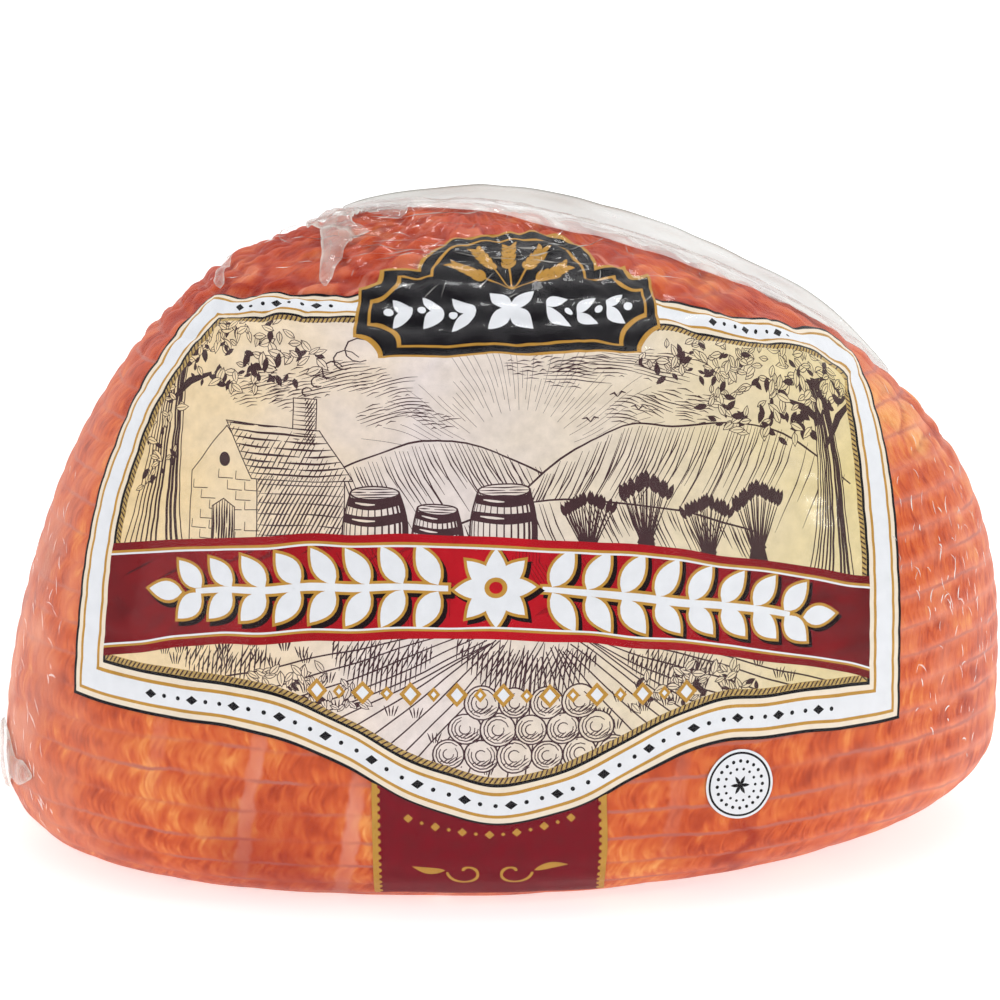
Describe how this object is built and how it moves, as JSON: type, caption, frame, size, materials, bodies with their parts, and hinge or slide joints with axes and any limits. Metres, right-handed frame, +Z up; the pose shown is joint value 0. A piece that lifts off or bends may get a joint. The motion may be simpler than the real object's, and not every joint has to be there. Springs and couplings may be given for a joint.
{
  "type": "packed boneless ham",
  "caption": "Whole netted smoked ham in clear shrink film, flat-based dome shape, with a curved printed label, plaque, round mark and film seal.",
  "frame": {"origin": "centre of the part's box on the surface that the ham rests on", "axes": "+Z up, +X along the long side, to the right as the label is seen; the label faces -Y"},
  "size_m": [0.2888, 0.201, 0.1814],
  "materials": {
    "meat_in_film": "smoked cured pork under a tight clear film, moist gloss",
    "label_print": "inks printed on shrink film",
    "plaque_print": "black ink on shrink film",
    "mark_print": "white and black ink on shrink film",
    "ribbon_print": "dark red ink on shrink film",
    "clear_film": "clear shrink film, cloudy where it is folded"
  },
  "bodies": {
    "root": {"ham_in_film": "meat_in_film", "front_label": "label_print", "black_plaque": "plaque_print", "round_mark": "mark_print", "foot_ribbon": "ribbon_print", "top_seal_fin": "clear_film", "side_pleat": "clear_film", "crown_pleat": "clear_film"}
  },
  "joints": []
}
